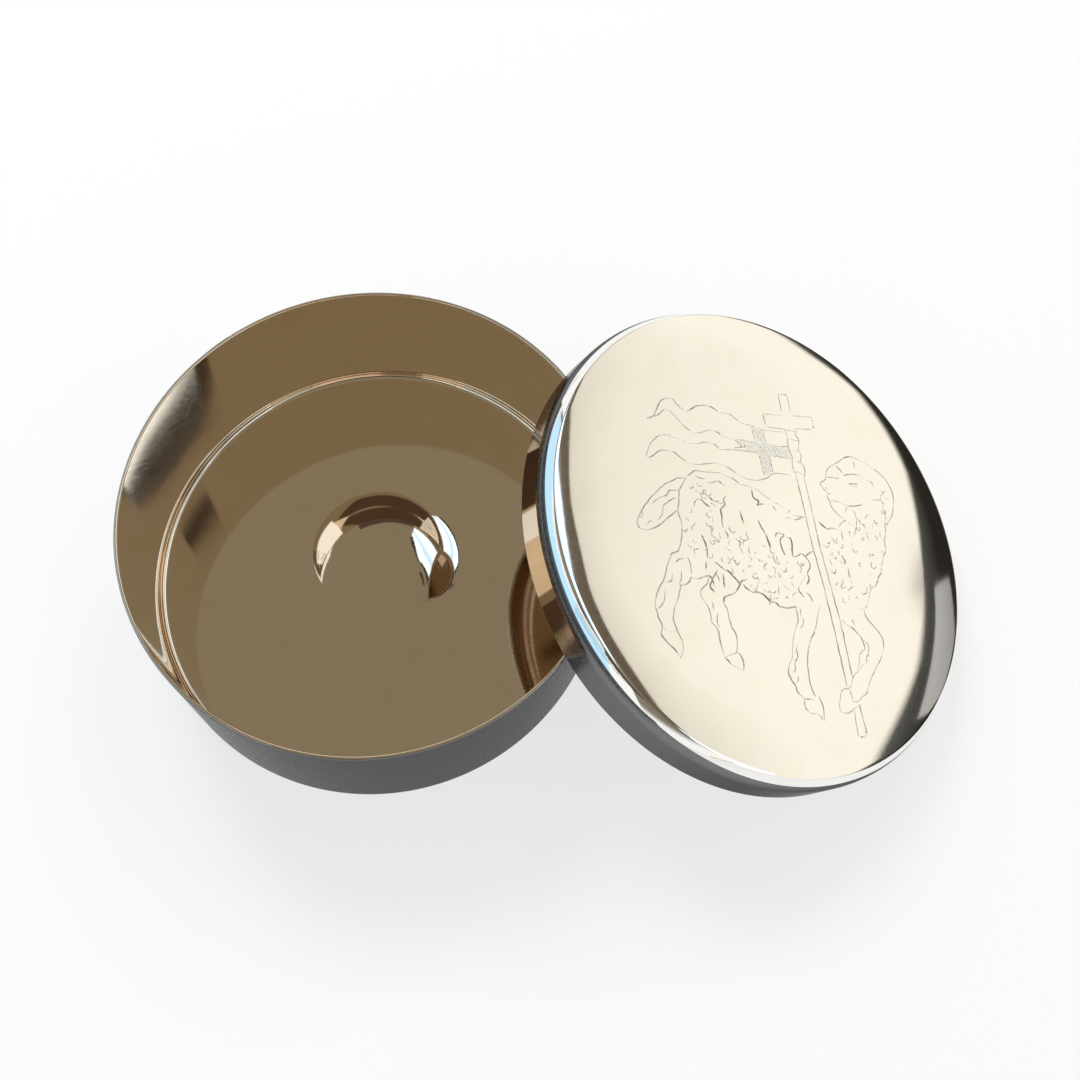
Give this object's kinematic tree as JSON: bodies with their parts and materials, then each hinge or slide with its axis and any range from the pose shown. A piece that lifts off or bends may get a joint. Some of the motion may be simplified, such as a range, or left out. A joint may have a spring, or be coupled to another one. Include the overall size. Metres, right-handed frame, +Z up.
{
  "type": "pyx",
  "caption": "Round drawn-metal pyx with a raised boss in the gilt cup's floor and a slip-over silver lid, taken off and leaning on the cup.",
  "frame": {"origin": "on the cup's axis, in the plane of the flat foot ring that it stands on", "axes": "+Z up along the cup's axis, +X from the cup towards the lid that leans on it"},
  "size_m": [0.1154, 0.0666, 0.033],
  "materials": {
    "cup_plate": "polished gold plate inside and silver plate outside, on drawn brass",
    "lid_plate": "polished silver plate with a fine hand-engraved figure, on drawn brass"
  },
  "bodies": {
    "cup": {"cup": "cup_plate"},
    "lid": {"lid": "lid_plate"}
  },
  "joints": [
    {"name": "lid_lift", "type": "slide", "parent": "cup", "child": "lid", "axis": [0, 0, 1], "range_m": [0, 0.08]}
  ]
}
